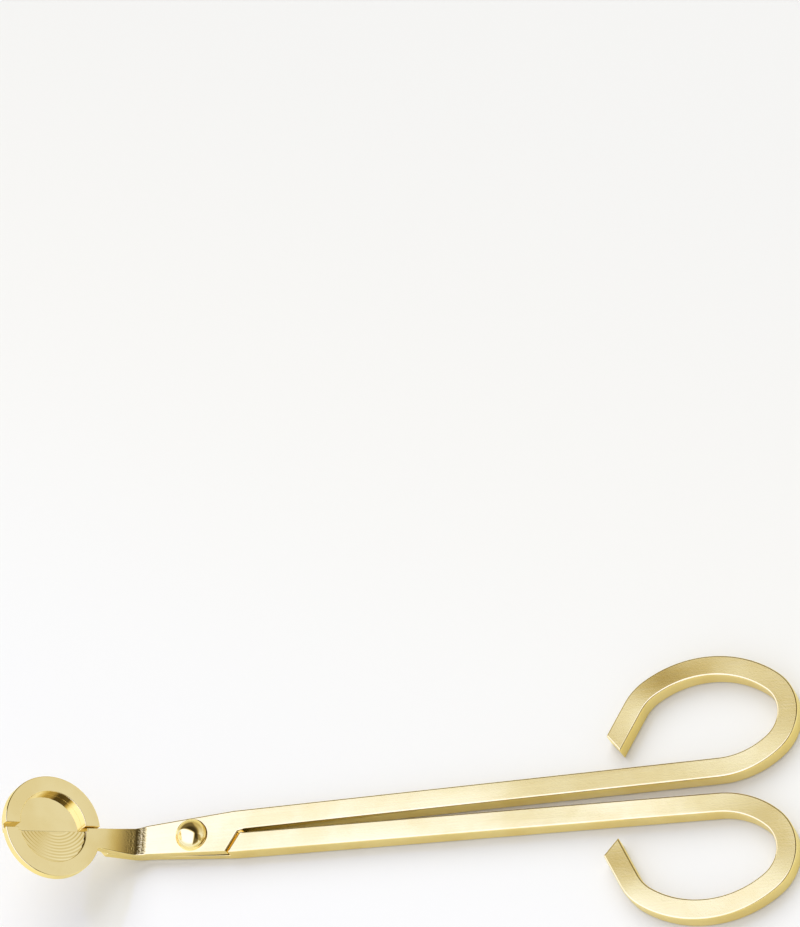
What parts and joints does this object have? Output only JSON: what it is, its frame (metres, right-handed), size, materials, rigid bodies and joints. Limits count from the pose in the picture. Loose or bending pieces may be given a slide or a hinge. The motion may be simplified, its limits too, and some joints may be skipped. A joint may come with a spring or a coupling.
{
  "type": "wick trimmer",
  "caption": "Gold metal scissor-type candle wick trimmer: half-lapped arms on a domed rivet, open finger loops, and a round bent-up cutting head with a shallow catch tray.",
  "frame": {"origin": "the pivot axis where it meets the flat back of the arms, the face of the rivet's tail", "axes": "+X from the pivot towards the finger loops, +Y towards the front arm's loop, +Z out of the front face, along the pivot and on the side the head is bent to"},
  "size_m": [0.1799, 0.0632, 0.0282],
  "materials": {
    "plated_arm": "pale gold plating, bright and finely brushed",
    "polished_rivet": "pale gold plating, mirror polished"
  },
  "bodies": {
    "front": {"front_arm": "plated_arm", "pivot_rivet": "polished_rivet"},
    "back": {"back_arm": "plated_arm", "tray_rim": "plated_arm"}
  },
  "joints": [
    {"name": "pivot", "type": "hinge", "parent": "front", "child": "back", "pos_m": [0, 0, 0], "axis": [0, 0, -1], "range_deg": [-0.6, 38]}
  ]
}
